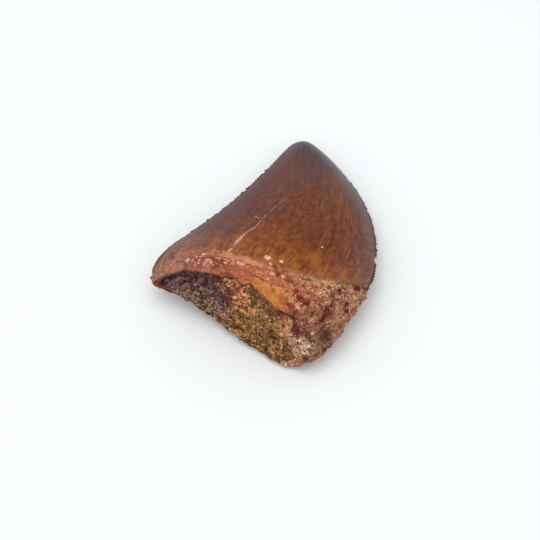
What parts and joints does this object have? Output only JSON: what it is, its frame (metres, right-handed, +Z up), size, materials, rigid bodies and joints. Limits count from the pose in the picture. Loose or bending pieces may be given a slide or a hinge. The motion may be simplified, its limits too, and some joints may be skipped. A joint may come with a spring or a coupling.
{
  "type": "fossil dinosaur tooth",
  "caption": "Broad flattened fossil tooth of a large meat-eating dinosaur, serrated on both edges and broken off at the root, whose hollow root end is packed with sandstone.",
  "frame": {"origin": "middle of the tooth's footprint, on the surface that it lies on, lip side up", "axes": "+Y along the crown from the break towards the tip, +X towards the front, more curved edge, +Z up out of the lip side"},
  "size_m": [0.0347, 0.041, 0.0137],
  "materials": {
    "tooth": "polished brown fossil enamel over satin orange-brown dentine, gritty red-brown crust at the root",
    "sandstone": "rough, grainy olive-brown sandstone"
  },
  "bodies": {
    "root": {"tooth": "tooth", "sandstone_fill": "sandstone"}
  },
  "joints": []
}
